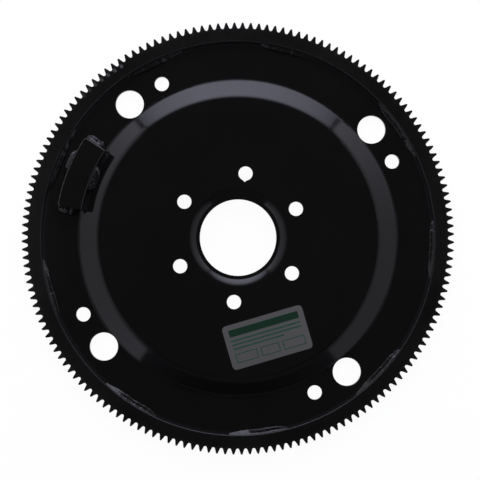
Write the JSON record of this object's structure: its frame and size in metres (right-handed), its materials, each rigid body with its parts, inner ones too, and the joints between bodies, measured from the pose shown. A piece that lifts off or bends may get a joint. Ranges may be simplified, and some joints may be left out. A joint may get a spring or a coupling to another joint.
{
  "type": "flexplate",
  "caption": "Black painted pressed-steel flexplate with a dished hub, welded starter ring gear, arc-shaped counterweight, crankshaft and converter bolt holes and a foil label.",
  "frame": {"origin": "on the crankshaft axis, in the plane of the ring gear's back face, which the part rests on", "axes": "+Z along the crankshaft axis towards the engine, the raised hub side; +X and +Y in the plane of the plate, with the regular crankshaft bolt holes at 30 degrees and every 60 degrees after it"},
  "size_m": [0.363, 0.363, 0.0146],
  "materials": {
    "black_paint": "gloss black paint",
    "ring_paint": "thin black paint over a rougher machined face",
    "weld_paint": "gloss black paint over rippled weld",
    "label_foil": "matt silver foil"
  },
  "bodies": {
    "root": {"pressed_plate": "black_paint", "ring_gear": "ring_paint", "counterweight": "black_paint", "ring_weld_1": "weld_paint", "ring_weld_2": "weld_paint", "ring_weld_3": "weld_paint", "ring_weld_4": "weld_paint", "ring_weld_5": "weld_paint", "ring_weld_6": "weld_paint", "ring_weld_7": "weld_paint", "ring_weld_8": "weld_paint", "ring_weld_9": "weld_paint", "weight_weld_outer": "weld_paint", "weight_weld_inner": "weld_paint", "weight_weld_low_end": "weld_paint", "weight_weld_high_end": "weld_paint", "foil_label": "label_foil"}
  },
  "joints": []
}
